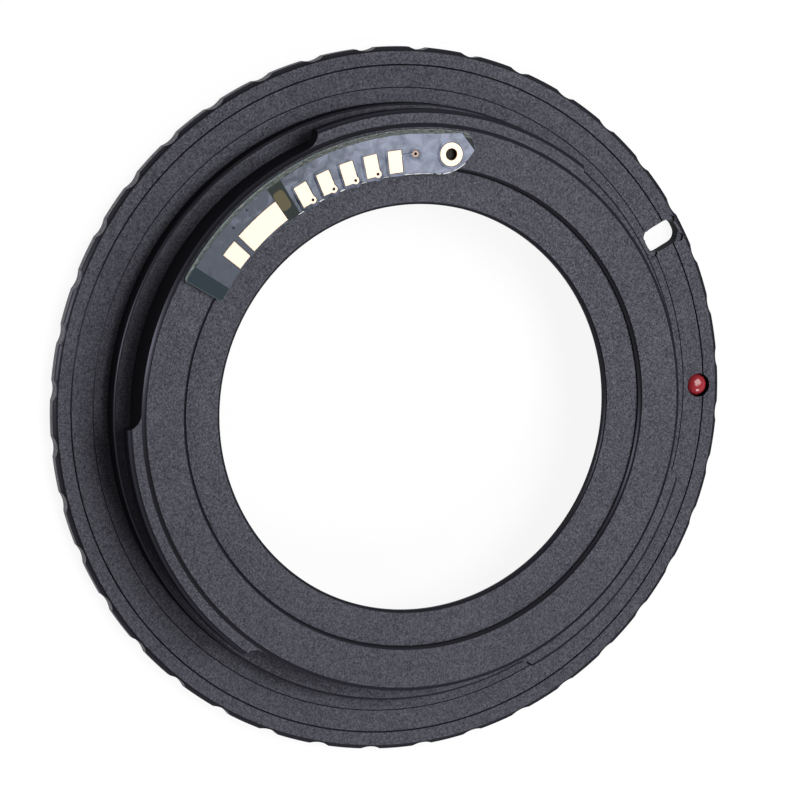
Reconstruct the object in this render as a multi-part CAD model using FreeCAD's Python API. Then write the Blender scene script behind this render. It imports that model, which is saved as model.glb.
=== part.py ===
import FreeCAD, Part
import math
import os
from FreeCAD import Rotation, Vector

os.makedirs("parts", exist_ok=True)

# A ring that carries a screw-thread lens on a three-lug bayonet camera.
# It lies on its lens seat at z = 0, and +Z is the optical axis, towards the camera.
# Lengths are in millimetres. Angles are in degrees, counter-clockwise seen from the camera
# side, and 0 is at the index bead. A span is (start angle, end angle).
axis = Vector(0, 0, 1)

# Flange: its thickness is the lens's register less the camera's
lens_register = 45.46
camera_register = 44.00
flange_overhang = 4.90
flange_front_chamfer = 0.2
flange_edge_width = 0.35
flange_edge_height = 0.3

# Grip scallops round the flange
scallop_count = 40
scallop_width = 1.9
scallop_depth = 0.25

# Two fine turned grooves in the camera seat
outer_groove_from_rim = 1.60
outer_groove_width = 0.16
inner_groove_from_pilot = 1.29
inner_groove_width = 0.10
groove_depth_ratio = 0.6

# Pilot that centres the ring in the camera's throat
throat_radius = 27.0
throat_clearance = 0.05
pilot_height = 1.88
pilot_chamfer = 0.15

# Barrel and bayonet lugs
pilot_step = 1.53
barrel_height = 5.67
barrel_chamfer = 0.3
lug_reach = 1.20
lug_chamfer = 0.29
lug_thickness = 1.6
lug_cutter_radius = 1.5
lug_spans = [(52.5, 109.9), (181.2, 232.4), (295.0, 343.1)]

# Screw thread for the lens: a plain bore at the thread's crest, with a relief behind it
thread_major_radius = 21.0
thread_pitch = 1.0
thread_depth_ratio = 0.5413
thread_relief_depth = 0.1
thread_relief_height = 0.7
thread_entry_depth = 0.2

# Lip that holds the lens's aperture pin down
lip_reach = 2.80
lip_thickness = 0.78
lip_chamfer = 0.2
recess_step = 0.37
recess_depth = 0.47
recess_chamfer = 0.29

# Lock pin slot through the flange, with a drill mark at each corner
slot_angle = 28.5
slot_from_pilot = 0.90
slot_from_rim = 0.63
slot_width = 2.0
slot_corner_radius = 0.7
slot_mark_radius = 0.42
slot_mark_inset = 0.22
slot_mark_depth = 0.35

# Index bead in its blind hole
bead_from_rim = 2.07
bead_radius = 1.05
bead_stem_height = 0.13
bead_clearance = 0.05

# Contact board
board_overhang = 0.37
board_from_barrel = 0.52
board_thickness = 0.45
board_corner_radius = 0.35
adhesive_thickness = 0.08
adhesive_inset = 0.2
mask_thickness = 0.03
mask_inset = 0.04
mask_outer_margin = 0.35
mask_opening_gap = 0.04

# Contacts, from the pointed end of the board to its square end
copper_thickness = 0.045
contact_from_edge = 0.22
contact_length = 1.98
contact_width = 1.27
contact_count = 5
contact_pitch_angle = 5.72
first_contact_angle = 95.6
via_hole_radius = 0.13
via_land_radius = 0.34
via_from_side = 0.22
via_from_inner_edge = 0.2
test_via_angle = 90.7
test_via_from_edge = 1.76
test_via_land_radius = 0.31
trace_width = 0.18
eyelet_angle = 82.2
eyelet_from_edge = 1.82
eyelet_outer_radius = 1.06
eyelet_hole_radius = 0.52
eyelet_wall = 0.06
board_nose_reach = 2.0
board_nose_rise = 0.75
board_belly_reach = 1.16
board_shoulder_reach = 0.75
board_heel_reach = 0.3
window_gap_angle = 1.5
window_angle = 3.4
long_contact_angle = 11.0
contact_gap_angle = 1.45
square_contact_angle = 3.85
mask_end_angle = 5.4
bare_end_angle = 3.4

# Controller and capacitor under the board, in a pocket of the ring
chip_length = 3.0
chip_width = 2.0
chip_height = 0.9
chip_corner_chamfer = 0.1
capacitor_length = 1.0
capacitor_width = 0.5
capacitor_height = 0.5
component_gap = 0.8
pocket_clearance = 0.3
pocket_floor_gap = 0.3
pocket_from_board_edge = 0.30
pocket_corner_radius = 0.43

# Radii, from the camera's throat outwards and inwards, and from the lens thread
pilot_radius = throat_radius - throat_clearance
flange_radius = pilot_radius + flange_overhang
outer_groove_radius = flange_radius - outer_groove_from_rim
inner_groove_radius = pilot_radius + inner_groove_from_pilot
slot_inner_radius = pilot_radius + slot_from_pilot
slot_length = flange_radius - slot_from_rim - slot_inner_radius
bead_place_radius = flange_radius - bead_from_rim
barrel_radius = pilot_radius - pilot_step
lug_radius = barrel_radius + lug_reach
thread_minor_radius = thread_major_radius - thread_depth_ratio * thread_pitch
lip_bore_radius = thread_major_radius - lip_reach
recess_radius = thread_major_radius + recess_step
board_inner_radius = recess_radius - board_overhang
board_outer_radius = barrel_radius - board_from_barrel
contact_inner_radius = board_inner_radius + contact_from_edge
contact_outer_radius = contact_inner_radius + contact_length
contact_middle_radius = (contact_inner_radius + contact_outer_radius) / 2
test_via_place_radius = board_inner_radius + test_via_from_edge
eyelet_place_radius = board_inner_radius + eyelet_from_edge
pocket_half_width = chip_width / 2 + pocket_clearance
pocket_middle_radius = board_outer_radius - pocket_from_board_edge - pocket_half_width

# Heights of the main faces
seat_z = lens_register - camera_register
pilot_z = seat_z + pilot_height
rear_z = seat_z + barrel_height
lug_top_z = rear_z - barrel_chamfer
lug_under_z = lug_top_z - lug_thickness
lip_z = rear_z - recess_depth
lip_under_z = lip_z - lip_thickness
board_z = rear_z + adhesive_thickness
board_top_z = board_z + board_thickness
bead_height = bead_radius + bead_stem_height
over = 1.0  # how far a cutting tool passes beyond what it cuts

# Places along the board, each worked out from the one before it
last_contact_angle = first_contact_angle + (contact_count - 1) * contact_pitch_angle
contact_half_angle = math.degrees(contact_width / 2 / contact_middle_radius)
window_start = last_contact_angle + contact_half_angle + window_gap_angle
window_end = window_start + window_angle
long_contact_end = window_end + long_contact_angle
square_contact_start = long_contact_end + contact_gap_angle
square_contact_end = square_contact_start + square_contact_angle
mask_end = square_contact_end + mask_end_angle
board_end = mask_end + bare_end_angle


def polar(radius, angle, z=0.0):
    turn = math.radians(angle)
    return Vector(radius * math.cos(turn), radius * math.sin(turn), z)


def beside(radius, angle, outward, along, z=0.0):
    """A point set off from a place on the ring, outward and along the ring."""
    return polar(radius, angle, z) + Rotation(axis, angle).multVec(Vector(outward, along, 0))


def turned(points):
    """A solid of revolution from (radius, height) points."""
    corners = [Vector(radius, 0, z) for radius, z in points]
    face = Part.Face(Part.makePolygon(corners + corners[:1]))
    return face.revolve(Vector(0, 0, 0), axis, 360)


def arc_edge(radius, start, end, z=0.0):
    middle = (start + end) / 2
    return Part.Arc(polar(radius, start, z), polar(radius, middle, z), polar(radius, end, z)).toShape()


def sector(inner, outer, start, end, z, height):
    """A block bounded by two arcs and two radial sides."""
    edges = [
        arc_edge(outer, start, end, z),
        Part.makeLine(polar(outer, end, z), polar(inner, end, z)),
        arc_edge(inner, end, start, z),
        Part.makeLine(polar(inner, start, z), polar(outer, start, z)),
    ]
    return Part.Face(Part.Wire(edges)).extrude(axis * height)


def upright_edges(solid):
    """The straight edges that run along the axis."""
    return [edge for edge in solid.Edges
            if isinstance(edge.Curve, Part.Line) and abs(edge.tangentAt(edge.FirstParameter).z) > 0.5]


def plate(radius, angle, length, width, corner, z, height):
    """A rectangular block centred on a place on the ring: length is radial, width is along it."""
    block = Part.makeBox(length, width, height, Vector(-length / 2, -width / 2, 0))
    if corner > 0:
        block = block.makeFillet(corner, upright_edges(block))
    block.rotate(Vector(0, 0, 0), axis, angle)
    block.translate(polar(radius, angle, z))
    return block


def post(radius, centre, height):
    return Part.makeCylinder(radius, height, centre, axis)


def lug(start, end):
    """A bayonet lug whose ends are left hollow by the cutter that ran along the barrel."""
    rise = lug_radius - barrel_radius
    half_chord = math.sqrt(lug_cutter_radius ** 2 - (lug_cutter_radius - rise) ** 2)
    run_out = math.degrees(math.asin(half_chord / lug_radius))
    root = barrel_radius - over
    profile = [
        (root, lug_under_z),
        (lug_radius, lug_under_z),
        (lug_radius, lug_top_z - lug_chamfer),
        (lug_radius - lug_chamfer, lug_top_z),
        (root, lug_top_z),
    ]
    keep = sector(root - over, lug_radius + over, start - run_out, end + run_out,
                  lug_under_z - over, lug_thickness + 2 * over)
    body = turned(profile).common(keep)
    for centre_angle in (start - run_out, end + run_out):
        centre = polar(barrel_radius + lug_cutter_radius, centre_angle, lug_under_z - over)
        body = body.cut(post(lug_cutter_radius, centre, lug_thickness + 2 * over))
    return body


def face_groove(radius, width):
    """A V groove turned in the camera seat."""
    depth = width * groove_depth_ratio
    return turned([
        (radius - width / 2, seat_z),
        (radius, seat_z - depth),
        (radius + width / 2, seat_z),
        (radius + width / 2, seat_z + over),
        (radius - width / 2, seat_z + over),
    ])


def scallops():
    """The round cutter's bites out of the flange edge, evenly spaced."""
    cutter = (scallop_width ** 2 / 4 + scallop_depth ** 2) / (2 * scallop_depth)
    centre_radius = flange_radius - scallop_depth + cutter
    pitch = 360 / scallop_count
    return [
        post(cutter, polar(centre_radius, (number + 0.5) * pitch, -over), seat_z + 2 * over)
        for number in range(scallop_count)
    ]


def lock_slot():
    middle = slot_inner_radius + slot_length / 2
    cutters = [plate(middle, slot_angle, slot_length, slot_width, slot_corner_radius,
                     -over, seat_z + 2 * over)]
    for outward in (-1, 1):
        for along in (-1, 1):
            centre = beside(middle, slot_angle,
                            outward * (slot_length / 2 - slot_mark_inset),
                            along * (slot_width / 2 - slot_mark_inset),
                            seat_z - slot_mark_depth)
            cutters.append(post(slot_mark_radius, centre, slot_mark_depth + over))
    return cutters


def component_places():
    """Angles of the chip's and the capacitor's middles, side by side under the long contact."""
    arc_per_degree = math.radians(pocket_middle_radius)
    chip_angle = window_end + (pocket_clearance + chip_length / 2) / arc_per_degree
    step = (chip_length + capacitor_length) / 2 + component_gap
    return chip_angle, chip_angle + step / arc_per_degree


def component_pocket():
    """A curved pocket in the rear face, as wide as the chip and as long as both components."""
    arc_per_degree = math.radians(pocket_middle_radius)
    chip_angle, capacitor_angle = component_places()
    start = chip_angle - (chip_length / 2 + pocket_clearance) / arc_per_degree
    end = capacitor_angle + (capacitor_length / 2 + pocket_clearance) / arc_per_degree
    depth = chip_height + pocket_floor_gap - adhesive_thickness
    block = sector(pocket_middle_radius - pocket_half_width,
                   pocket_middle_radius + pocket_half_width, start, end, rear_z - depth, depth + over)
    return block.makeFillet(pocket_corner_radius, upright_edges(block))


def adapter_ring():
    relief_radius = thread_major_radius + thread_relief_depth
    relief_z = lip_under_z - thread_relief_height
    entry_radius = thread_major_radius + thread_entry_depth
    body = turned([
        (entry_radius, 0),
        (flange_radius - flange_front_chamfer, 0),
        (flange_radius, flange_front_chamfer),
        (flange_radius, seat_z - flange_edge_height),
        (flange_radius - flange_edge_width, seat_z),
        (pilot_radius, seat_z),
        (pilot_radius, pilot_z - pilot_chamfer),
        (pilot_radius - pilot_chamfer, pilot_z),
        (barrel_radius, pilot_z),
        (barrel_radius, rear_z - barrel_chamfer),
        (barrel_radius - barrel_chamfer, rear_z),
        (recess_radius + recess_chamfer, rear_z),
        (recess_radius, rear_z - recess_chamfer),
        (recess_radius, lip_z),
        (lip_bore_radius + lip_chamfer, lip_z),
        (lip_bore_radius, lip_z - lip_chamfer),
        (lip_bore_radius, lip_under_z),
        (relief_radius, lip_under_z),
        (relief_radius, relief_z),
        (thread_minor_radius, relief_z - (relief_radius - thread_minor_radius)),
        (thread_minor_radius, entry_radius - thread_minor_radius),
    ])
    body = body.fuse([lug(start, end) for start, end in lug_spans])
    cutters = scallops() + lock_slot()
    cutters.append(face_groove(outer_groove_radius, outer_groove_width))
    cutters.append(face_groove(inner_groove_radius, inner_groove_width))
    hole_floor = polar(bead_place_radius, 0, seat_z - bead_height)
    cutters.append(post(bead_radius + bead_clearance, hole_floor, bead_height + over))
    cutters.append(component_pocket())
    return body.cut(cutters).removeSplitter()


def index_bead():
    """A short stem with a half-round head, level with the camera seat at its top."""
    floor = seat_z - bead_height
    spring = seat_z - bead_radius
    crown = Vector(0, 0, seat_z)
    shoulder = Vector(bead_radius, 0, spring)
    halfway = Vector(bead_radius * math.sin(math.pi / 4), 0,
                     spring + bead_radius * math.cos(math.pi / 4))
    edges = [
        Part.makeLine(Vector(0, 0, floor), Vector(bead_radius, 0, floor)),
        Part.makeLine(Vector(bead_radius, 0, floor), shoulder),
        Part.Arc(shoulder, halfway, crown).toShape(),
        Part.makeLine(crown, Vector(0, 0, floor)),
    ]
    bead = Part.Face(Part.Wire(edges)).revolve(Vector(0, 0, 0), axis, 360)
    bead.translate(polar(bead_place_radius, 0))
    return bead


def board_outline():
    """The board's face at z = 0: an arc with one square end and one pointed end at the eyelet."""
    nose = beside(eyelet_place_radius, eyelet_angle, board_nose_rise, -board_nose_reach)
    shoulder_angle = eyelet_angle - math.degrees(board_shoulder_reach / board_outer_radius)
    belly_depth = (eyelet_place_radius - board_inner_radius) * math.sin(math.pi / 4)
    belly = beside(eyelet_place_radius, eyelet_angle, -belly_depth, -board_belly_reach)
    heel_angle = eyelet_angle + math.degrees(board_heel_reach / board_inner_radius)
    heel = polar(board_inner_radius, heel_angle)
    outer_end = polar(board_outer_radius, board_end)
    inner_end = polar(board_inner_radius, board_end)
    edges = [
        arc_edge(board_outer_radius, shoulder_angle, board_end),
        Part.makeLine(outer_end, inner_end),
        arc_edge(board_inner_radius, board_end, heel_angle),
        Part.Arc(heel, belly, nose).toShape(),
        Part.makeLine(nose, polar(board_outer_radius, shoulder_angle)),
    ]
    return Part.Face(Part.Wire(edges))


def contact_angles():
    return [first_contact_angle + number * contact_pitch_angle for number in range(contact_count)]


def contact_via(angle):
    """Centre of the small via at a contact's inner corner, on the side of the pointed end."""
    return beside(contact_inner_radius, angle, via_from_inner_edge, via_from_side - contact_width / 2)


def contact_land(angle, margin, z, height):
    """A contact's rectangle, larger all round by a margin."""
    length = contact_outer_radius - contact_inner_radius
    return plate(contact_middle_radius, angle, length + 2 * margin, contact_width + 2 * margin,
                 0, z, height)


def board_holes():
    """Round tools for the vias and for the eyelet's plated wall, through the board."""
    centres = [contact_via(angle) for angle in contact_angles()[1:]]
    centres.append(polar(test_via_place_radius, test_via_angle))
    height = board_thickness + 2 * over
    tools = [post(via_hole_radius, centre + axis * (board_z - over), height) for centre in centres]
    eyelet = polar(eyelet_place_radius, eyelet_angle, board_z - over)
    tools.append(post(eyelet_hole_radius + eyelet_wall, eyelet, height))
    return tools


def at_square_end(edge):
    """Whether an upright edge stands on the board's square end."""
    point = edge.Vertexes[0].Point
    from_end = math.degrees(math.atan2(point.y, point.x)) % 360 - board_end
    return abs(from_end) < contact_gap_angle / 2


def board_laminate():
    body = board_outline().extrude(axis * board_thickness)
    corners = [edge for edge in upright_edges(body) if at_square_end(edge)]
    body = body.makeFillet(board_corner_radius, corners)
    body.translate(axis * board_z)
    return body.cut(board_holes())


def via_contact(angle):
    """A contact with a via in a round lobe at its corner."""
    centre = contact_via(angle) + axis * board_top_z
    pad = contact_land(angle, 0, board_top_z, copper_thickness)
    pad = pad.fuse(post(via_land_radius, centre, copper_thickness))
    return pad.cut(post(via_hole_radius, centre - axis * over, 2 * over)).removeSplitter()


def test_trace(extra_width, height):
    """The straight trace from the first contact to the test via."""
    span = first_contact_angle - test_via_angle
    length = 2 * test_via_place_radius * math.sin(math.radians(span / 2))
    middle = test_via_place_radius * math.cos(math.radians(span / 2))
    return plate(middle, test_via_angle + span / 2, trace_width + 2 * extra_width, length, 0,
                 board_top_z, height)


def traced_contact(angle):
    """The contact that a trace joins to the test via."""
    centre = polar(test_via_place_radius, test_via_angle, board_top_z)
    pad = contact_land(angle, 0, board_top_z, copper_thickness)
    pad = pad.fuse([test_trace(0, copper_thickness),
                    post(test_via_land_radius, centre, copper_thickness)])
    return pad.cut(post(via_hole_radius, centre - axis * over, 2 * over)).removeSplitter()


def arc_contact(start, end):
    return sector(contact_inner_radius, contact_outer_radius, start, end,
                  board_top_z, copper_thickness)


def plated_eyelet():
    """A land on the board and the plated wall that goes down through it."""
    centre = polar(eyelet_place_radius, eyelet_angle, board_top_z)
    land = post(eyelet_outer_radius, centre, copper_thickness)
    wall = post(eyelet_hole_radius + eyelet_wall, centre - axis * board_thickness, board_thickness)
    bore = post(eyelet_hole_radius, centre - axis * (board_thickness + over),
                board_thickness + 2 * over)
    return land.fuse(wall).cut(bore).removeSplitter()


def solder_mask():
    """A film over the board, open round the contacts, at a window and at the square end."""
    tall = copper_thickness + mask_thickness + over
    body = board_outline().makeOffset2D(-mask_inset).extrude(axis * mask_thickness)
    body.translate(axis * board_top_z)
    ridge = test_trace(mask_thickness, copper_thickness + mask_thickness)
    body = body.fuse(ridge)
    rim = board_outer_radius - mask_outer_margin
    margin = sector(rim, board_outer_radius + over, first_contact_angle - 2 * contact_pitch_angle,
                    board_end + over, board_top_z, tall)
    window = sector(board_inner_radius - over, board_outer_radius + over, window_start, window_end,
                    board_top_z, tall)
    bare_end = sector(board_inner_radius - over, board_outer_radius + over, mask_end,
                      board_end + over, board_top_z, tall)
    tools = [margin, window, bare_end, test_trace(0, copper_thickness)]
    for angle in contact_angles():
        tools.append(contact_land(angle, mask_opening_gap, board_top_z, tall))
    for angle in contact_angles()[1:]:
        via = contact_via(angle) + axis * board_top_z
        tools.append(post(via_land_radius + mask_opening_gap, via, tall))
    test_via = polar(test_via_place_radius, test_via_angle, board_top_z)
    tools.append(post(test_via_land_radius + mask_opening_gap, test_via, tall))
    eyelet = polar(eyelet_place_radius, eyelet_angle, board_top_z)
    tools.append(post(eyelet_outer_radius + mask_opening_gap, eyelet, tall))
    gap_angle = math.degrees(mask_opening_gap / contact_middle_radius)
    for start, end in ((window_end, long_contact_end), (square_contact_start, square_contact_end)):
        tools.append(sector(contact_inner_radius - mask_opening_gap,
                            contact_outer_radius + mask_opening_gap,
                            start - gap_angle, end + gap_angle, board_top_z, tall))
    return body.cut(tools).removeSplitter()


def adhesive_film():
    """The thin bed of glue between the rear face and the board, clear of the pocket."""
    body = board_outline().makeOffset2D(-adhesive_inset).extrude(axis * adhesive_thickness)
    body.translate(axis * rear_z)
    land = recess_radius + recess_chamfer
    body = body.cut(post(land, Vector(0, 0, rear_z - over), adhesive_thickness + 2 * over))
    return body.cut(component_pocket())


def controller_chip():
    angle = component_places()[0]
    body = Part.makeBox(chip_width, chip_length, chip_height,
                        Vector(-chip_width / 2, -chip_length / 2, -chip_height))
    lower = [edge for edge in body.Edges if edge.BoundBox.ZMax < -chip_height / 2]
    body = body.makeChamfer(chip_corner_chamfer, lower)
    body.rotate(Vector(0, 0, 0), axis, angle)
    body.translate(polar(pocket_middle_radius, angle, board_z))
    return body


def capacitor():
    angle = component_places()[1]
    return plate(pocket_middle_radius, angle, capacitor_width, capacitor_length, 0,
                 board_z - capacitor_height, capacitor_height)


def build():
    pieces = {
        "adapter_ring": adapter_ring(),
        "index_bead": index_bead(),
        "board_laminate": board_laminate(),
        "solder_mask": solder_mask(),
        "adhesive_film": adhesive_film(),
        "plated_eyelet": plated_eyelet(),
        "long_contact": arc_contact(window_end, long_contact_end),
        "square_contact": arc_contact(square_contact_start, square_contact_end),
        "controller_chip": controller_chip(),
        "capacitor": capacitor(),
    }
    for number, angle in enumerate(contact_angles(), start=1):
        make = traced_contact if number == 1 else via_contact
        pieces["contact_%d" % number] = make(angle)
    return pieces


for name, shape in build().items():
    print(name, "solids", len(shape.Solids), "valid", shape.isValid(), "volume", round(shape.Volume, 3))
    shape.exportStep("parts/%s.step" % name)
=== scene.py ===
import bpy
import bmesh
import math
from mathutils import Matrix, Vector


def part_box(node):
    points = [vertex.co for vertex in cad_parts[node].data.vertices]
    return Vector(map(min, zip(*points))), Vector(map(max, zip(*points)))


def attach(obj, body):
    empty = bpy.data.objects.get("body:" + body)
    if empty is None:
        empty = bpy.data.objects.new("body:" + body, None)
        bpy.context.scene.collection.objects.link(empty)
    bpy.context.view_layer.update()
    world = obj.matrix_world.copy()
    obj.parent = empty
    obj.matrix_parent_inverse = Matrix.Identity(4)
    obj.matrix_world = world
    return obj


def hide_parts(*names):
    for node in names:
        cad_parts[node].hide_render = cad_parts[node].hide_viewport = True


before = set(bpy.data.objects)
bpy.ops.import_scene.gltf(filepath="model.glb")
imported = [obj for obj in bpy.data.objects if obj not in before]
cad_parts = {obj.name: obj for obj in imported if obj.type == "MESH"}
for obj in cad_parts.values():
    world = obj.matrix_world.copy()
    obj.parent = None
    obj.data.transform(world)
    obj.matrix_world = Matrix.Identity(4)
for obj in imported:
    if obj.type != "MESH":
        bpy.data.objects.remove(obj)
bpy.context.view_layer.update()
print("frame loaded,", len(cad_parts), "nodes")

mm = 0.001


def colour(hexText):
    parts = [int(hexText[i:i + 2], 16) / 255 for i in (1, 3, 5)]
    return tuple(p / 12.92 if p <= 0.04045 else ((p + 0.055) / 1.055) ** 2.4 for p in parts) + (1.0,)


def addNode(tree, kind, *values, sockets=None, **settings):
    # values fill the first sockets in order; a value may be a node, a socket or a constant
    node = tree.nodes.new(kind)
    for name, value in settings.items():
        setattr(node, name, value)
    for key, value in [*enumerate(values), *(sockets or {}).items()]:
        if isinstance(value, bpy.types.Node):
            value = value.outputs[0]
        if isinstance(value, bpy.types.NodeSocket):
            tree.links.new(value, node.inputs[key])
        elif value is not None:
            node.inputs[key].default_value = value
    return node


def polar(radius, angle, z=0.0):
    turn = math.radians(angle)
    return Vector((radius * math.cos(turn), radius * math.sin(turn), z))


def beside(radius, angle, outward, along):  # a step outwards and along from a place on the ring
    step = Matrix.Rotation(math.radians(angle), 3, "Z") @ Vector((outward, along, 0))
    return polar(radius, angle) + step


def placed(points, radius, angle):
    return [beside(radius, angle, p.x, p.y) for p in points]


def arcPoints(radius, start, end, step=0.5):
    count = max(2, round(abs(end - start) / step))
    return [polar(radius, start + (end - start) * i / count) for i in range(count + 1)]


def sector(inner, outer, start, end):
    return arcPoints(outer, start, end) + arcPoints(inner, end, start)


def circlePoints(centre, radius, count=32):
    return [centre + polar(radius, 360 * i / count) for i in range(count)]


def arcThrough(a, b, c, count=14):
    # the circle through three points, from the first to the last
    d = 2 * (a.x * (b.y - c.y) + b.x * (c.y - a.y) + c.x * (a.y - b.y))
    squares = [p.x * p.x + p.y * p.y for p in (a, b, c)]
    x = squares[0] * (b.y - c.y) + squares[1] * (c.y - a.y) + squares[2] * (a.y - b.y)
    y = squares[0] * (c.x - b.x) + squares[1] * (a.x - c.x) + squares[2] * (b.x - a.x)
    centre = Vector((x / d, y / d, 0))
    start, middle, end = (math.degrees(math.atan2(p.y - centre.y, p.x - centre.x)) for p in (a, b, c))
    swing = (end - start) % 360
    if swing < (middle - start) % 360:
        swing -= 360
    return [centre + polar((a - centre).length, start + swing * i / count) for i in range(count + 1)]


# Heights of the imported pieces' faces, in mm
def nodeTop(name):
    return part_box(name)[1][2] / mm


def nodeBottom(name):
    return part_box(name)[0][2] / mm


rearFace = nodeBottom("adhesive_film")
boardBottom = nodeBottom("board_laminate")
boardTop = nodeTop("board_laminate")
copperTop = nodeTop("long_contact")
seatFace = nodeTop("index_bead")


# Meshes

def meshObject(name, mesh):
    piece = bpy.data.objects.new(name, mesh)
    bpy.context.scene.collection.objects.link(piece)
    return piece


def meshFrom(bm, name, merge=2e-7):
    bmesh.ops.remove_doubles(bm, verts=bm.verts, dist=merge)
    bmesh.ops.recalc_face_normals(bm, faces=bm.faces)
    mesh = bpy.data.meshes.new(name)
    bm.to_mesh(mesh)
    bm.free()
    return mesh


def evaluated(piece):
    bpy.context.view_layer.update()
    return bpy.data.meshes.new_from_object(piece.evaluated_get(bpy.context.evaluated_depsgraph_get()))


def applied(piece):  # the evaluated mesh takes the place of the mesh and its modifiers
    result = evaluated(piece)
    piece.modifiers.clear()
    piece.data = result
    return piece


def addLoft(bm, loops):
    # bands between loops of as many points each, with a face over the first loop and over the last
    rows = [[bm.verts.new(p * mm) for p in loop] for loop in loops]
    for low, high in zip(rows, rows[1:]):
        for i in range(len(low)):
            j = (i + 1) % len(low)
            bm.faces.new((low[i], low[j], high[j], high[i]))
    bm.faces.new(list(reversed(rows[0])))
    bm.faces.new(rows[-1])


def addLathe(bm, profile, centre, count):
    # profile is (radius, height) in mm, round a section, or from the axis to the axis
    columns = [[bm.verts.new((centre + polar(r, 360 * i / count, z)) * mm) for r, z in profile]
               for i in range(count)]
    steps = len(profile) - (1 if profile[0][0] == 0 else 0)
    for here, there in zip(columns, columns[1:] + columns[:1]):
        for j in range(steps):
            k = (j + 1) % len(profile)
            corners = [here[j], there[j], there[k], here[k]]
            if profile[j][0] == 0:
                corners.pop(1)
            elif profile[k][0] == 0:
                corners.pop(2)
            bm.faces.new(corners)


def latheMesh(name, profile, centre, count=64):
    bm = bmesh.new()
    addLathe(bm, profile, centre, count)
    return meshFrom(bm, name)


def flatMesh(name, loops, bottom, top, edgeRound):
    # a flat piece from outlines, each inside another being a hole, with its rims rounded a little
    curve = bpy.data.curves.new(name, "CURVE")
    curve.dimensions = "2D"
    curve.fill_mode = "BOTH"
    for loop in loops:
        spline = curve.splines.new("POLY")
        spline.points.add(len(loop) - 1)
        for point, place in zip(spline.points, loop):
            point.co = (place.x * mm, place.y * mm, 0, 1)
        spline.use_cyclic_u = True
    curve.bevel_depth = edgeRound * mm
    curve.bevel_resolution = 1
    curve.offset = -edgeRound * mm
    curve.extrude = ((top - bottom) / 2 - edgeRound) * mm
    piece = meshObject(name, curve)
    flat = evaluated(piece)
    bpy.data.objects.remove(piece)
    flat.transform(Matrix.Translation((0, 0, mm * (top + bottom) / 2)))
    bm = bmesh.new()
    bm.from_mesh(flat)
    return meshFrom(bm, name)


def rounded(corners):
    # each corner with a rounding becomes two points, a little before and a little after it
    points = []
    for i, (place, rounding) in enumerate(corners):
        if rounding == 0:
            points.append(place)
            continue
        for other in (corners[i - 1][0], corners[(i + 1) % len(corners)][0]):
            gap = math.dist(place, other)
            share = min(rounding, 0.4 * gap) / gap
            points.append(tuple(here + (there - here) * share for here, there in zip(place, other)))
    return points


def smoothBetweenFlats(mesh, sharpAngle=50.0, uprightAngle=15.0):
    # faces square to the axis stay flat, walls and roundings turn smoothly, true corners stay sharp
    bm = bmesh.new()
    bm.from_mesh(mesh)
    for face in bm.faces:
        face.smooth = abs(face.normal.z) < 0.9999
    for edge in bm.edges:
        turn = math.degrees(edge.calc_face_angle(0.0))
        run = edge.verts[1].co - edge.verts[0].co
        upright = math.hypot(run.x, run.y) < 0.05 * abs(run.z)
        edge.smooth = turn < (uprightAngle if upright else sharpAngle)
    bm.to_mesh(mesh)
    bm.free()


def weightNormals(piece):
    smoothBetweenFlats(piece.data)
    modifier = piece.modifiers.new("long walls stay straight", "WEIGHTED_NORMAL")
    modifier.keep_sharp = True
    modifier.weight = 70
    return applied(piece)


# Geometry Nodes trees and their modifiers

def geometryTree(name, **inputs):
    tree = bpy.data.node_groups.new(name, "GeometryNodeTree")
    kinds = {int: "NodeSocketInt", float: "NodeSocketFloat", bpy.types.Material: "NodeSocketMaterial"}
    tree.interface.new_socket("geometry", in_out="INPUT", socket_type="NodeSocketGeometry")
    for label, value in inputs.items():
        tree.interface.new_socket(label, in_out="INPUT", socket_type=kinds[type(value)])
    tree.interface.new_socket("geometry", in_out="OUTPUT", socket_type="NodeSocketGeometry")
    return tree, addNode(tree, "NodeGroupInput").outputs


def finishTree(tree, geometry, material):
    real = addNode(tree, "GeometryNodeRealizeInstances", geometry)
    coated = addNode(tree, "GeometryNodeSetMaterial", real, None, material)
    addNode(tree, "NodeGroupOutput", coated)


def addTree(piece, tree, inputs):
    modifier = piece.modifiers.new(tree.name, "NODES")
    modifier.node_group = tree
    for item in tree.interface.items_tree:
        if item.in_out == "INPUT" and item.name in inputs:
            modifier[item.identifier] = inputs[item.name]


def finish(piece, material, slot, *nodes):
    piece.data.materials.clear()
    piece.data.materials.append(material)
    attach(piece, "root")
    if nodes:
        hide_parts(*nodes)
    return piece


# Materials

def startMaterial(name, constants):
    material = bpy.data.materials.new(name)
    material.use_nodes = True
    tree = material.node_tree
    for key, value in constants.items():
        tree.nodes["Principled BSDF"].inputs[key].default_value = value
    return material, tree, addNode(tree, "ShaderNodeTexCoord").outputs["Object"]


def endMaterial(material, tone, relief=None, strength=0.0, depth=0.0):
    # the mixed colour goes to the shader, and a relief of some depth in mm where there is one
    tree = material.node_tree
    shader = tree.nodes["Principled BSDF"]
    tree.links.new(tone.outputs["Result"], shader.inputs["Base Color"])
    if relief is not None:
        bump = addNode(tree, "ShaderNodeBump", sockets={
            "Height": relief, "Strength": strength, "Distance": depth * mm})
        tree.links.new(bump.outputs["Normal"], shader.inputs["Normal"])
    return material


def radiusAndAngle(tree, point):  # round the optical axis, in metres and radians
    parts = addNode(tree, "ShaderNodeSeparateXYZ", point).outputs
    level = addNode(tree, "ShaderNodeVectorMath", point, (1, 1, 0), operation="MULTIPLY")
    radius = addNode(tree, "ShaderNodeVectorMath", level, operation="LENGTH").outputs["Value"]
    return radius, addNode(tree, "ShaderNodeMath", parts["Y"], parts["X"], operation="ARCTAN2"), parts["Z"]


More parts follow.
